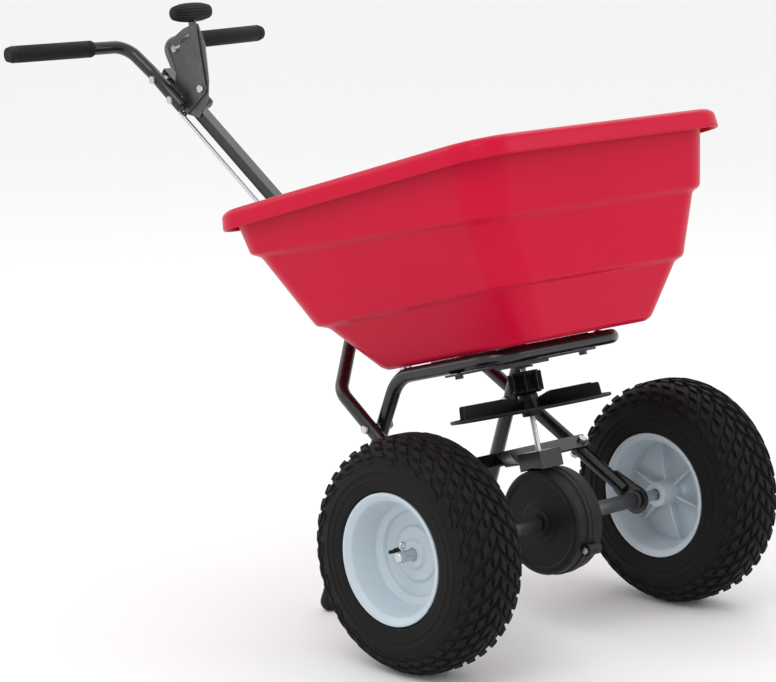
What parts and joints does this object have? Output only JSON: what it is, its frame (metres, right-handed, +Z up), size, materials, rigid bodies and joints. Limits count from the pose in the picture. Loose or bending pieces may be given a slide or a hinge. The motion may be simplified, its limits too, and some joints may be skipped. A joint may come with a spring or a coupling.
{
  "type": "broadcast spreader",
  "caption": "Walk-behind broadcast spreader: open hopper over a gear-driven spinning impeller, with pneumatic wheels, a rear stand, a tube handle and a flow control lever.",
  "frame": {"origin": "middle of the bounding box's footprint, on the ground that the tyres and the stand's feet rest on", "axes": "+X the way it is pushed, +Y its left side, +Z up"},
  "size_m": [1.0744, 0.65, 0.8507],
  "materials": {
    "hopper_plastic": "satin moulded plastic, saturated red",
    "frame_paint": "gloss black powder coat",
    "tyre_rubber": "matt black rubber",
    "rim_paint": "satin pale blue-grey paint",
    "zinc_steel": "bright zinc plate",
    "bare_steel": "dull grey zinc plate",
    "black_plastic": "fine-grained black moulding",
    "soft_rubber": "matt black",
    "nylon": "natural nylon"
  },
  "bodies": {
    "chassis": {"hopper": "hopper_plastic", "floor_bushing": "nylon", "hopper_screw_left": "zinc_steel", "hopper_screw_right": "zinc_steel", "plate_guide_left": "frame_paint", "plate_guide_right": "frame_paint", "crank_bolt": "zinc_steel", "crank_bracket": "frame_paint", "frame_loop": "frame_paint", "stand_foot_left": "soft_rubber", "stand_foot_right": "soft_rubber", "side_tube_left": "frame_paint", "side_tube_right": "frame_paint", "axle_bushing_left": "nylon", "axle_bushing_right": "nylon", "leg_bolt_left": "zinc_steel", "leg_bolt_right": "zinc_steel", "cross_strap": "frame_paint", "strap_bolt_left": "zinc_steel", "strap_bolt_right": "zinc_steel", "shaft_support": "frame_paint", "support_bushing": "nylon", "handle_pole": "frame_paint", "bar_bolt_upper": "zinc_steel", "bar_bolt_lower": "zinc_steel", "pole_base_bolt": "zinc_steel", "handlebar_left": "frame_paint", "handlebar_right": "frame_paint", "grip_left": "soft_rubber", "grip_right": "soft_rubber", "gauge_plate": "bare_steel", "stop_bolt": "zinc_steel", "lever_bolt": "zinc_steel", "gearbox_half_left": "black_plastic", "gearbox_half_right": "black_plastic", "gearbox_screw_front": "zinc_steel", "gearbox_screw_rear": "zinc_steel", "gearbox_collar": "frame_paint"},
    "axle_and_drive_wheel": {"axle": "zinc_steel", "axle_sleeve_left": "bare_steel", "axle_sleeve_right": "bare_steel", "axle_pin_left": "zinc_steel", "axle_pin_right": "zinc_steel", "drive_gear": "bare_steel", "rim_right": "rim_paint", "tyre_right": "tyre_rubber", "valve_stem_right": "soft_rubber"},
    "free_wheel": {"rim_left": "rim_paint", "tyre_left": "tyre_rubber", "valve_stem_left": "soft_rubber"},
    "spinner": {"spinner_shaft": "zinc_steel", "pinion_gear": "bare_steel", "impeller": "black_plastic", "impeller_spool": "black_plastic", "agitator": "zinc_steel"},
    "lever": {"control_lever": "bare_steel", "lever_knob": "black_plastic"},
    "rod": {"control_rod": "zinc_steel"},
    "crank": {"bell_crank": "zinc_steel"},
    "shutter": {"shutoff_plate": "zinc_steel"}
  },
  "joints": [
    {"name": "axle_spin", "type": "hinge", "parent": "chassis", "child": "axle_and_drive_wheel", "pos_m": [0.3725, 0, 0.165], "axis": [0, 1, 0], "continuous": true},
    {"name": "free_wheel_spin", "type": "hinge", "parent": "axle_and_drive_wheel", "child": "free_wheel", "pos_m": [0.3725, 0.268, 0.165], "axis": [0, 1, 0], "continuous": true},
    {"name": "spinner_spin", "type": "hinge", "parent": "chassis", "child": "spinner", "pos_m": [0.32974, 0, 0.31711], "axis": [-0.2706, 0, 0.9627], "continuous": true},
    {"name": "lever_swing", "type": "hinge", "parent": "chassis", "child": "lever", "pos_m": [-0.35795, -0.013, 0.72005], "axis": [0, 1, 0], "range_deg": [-25.4, 0]},
    {"name": "rod_slide", "type": "slide", "parent": "chassis", "child": "rod", "axis": [0.826, 0, -0.5637], "range_m": [0, 0.0268]},
    {"name": "crank_turn", "type": "hinge", "parent": "chassis", "child": "crank", "pos_m": [0.09583, -0.0125, 0.38432], "axis": [0, 1, 0], "range_deg": [-39.1, 0]},
    {"name": "shutter_slide", "type": "slide", "parent": "chassis", "child": "shutter", "axis": [0.9627, 0, 0.2706], "range_m": [0, 0.0255]}
  ],
  "couplings": [
    {"joint": "spinner_spin", "follows": "axle_spin", "ratio": -4},
    {"joint": "rod_slide", "follows": "lever_swing", "m_per_rad": -0.0602},
    {"joint": "crank_turn", "follows": "lever_swing", "ratio": 1.5354},
    {"joint": "shutter_slide", "follows": "lever_swing", "m_per_rad": -0.0572}
  ]
}
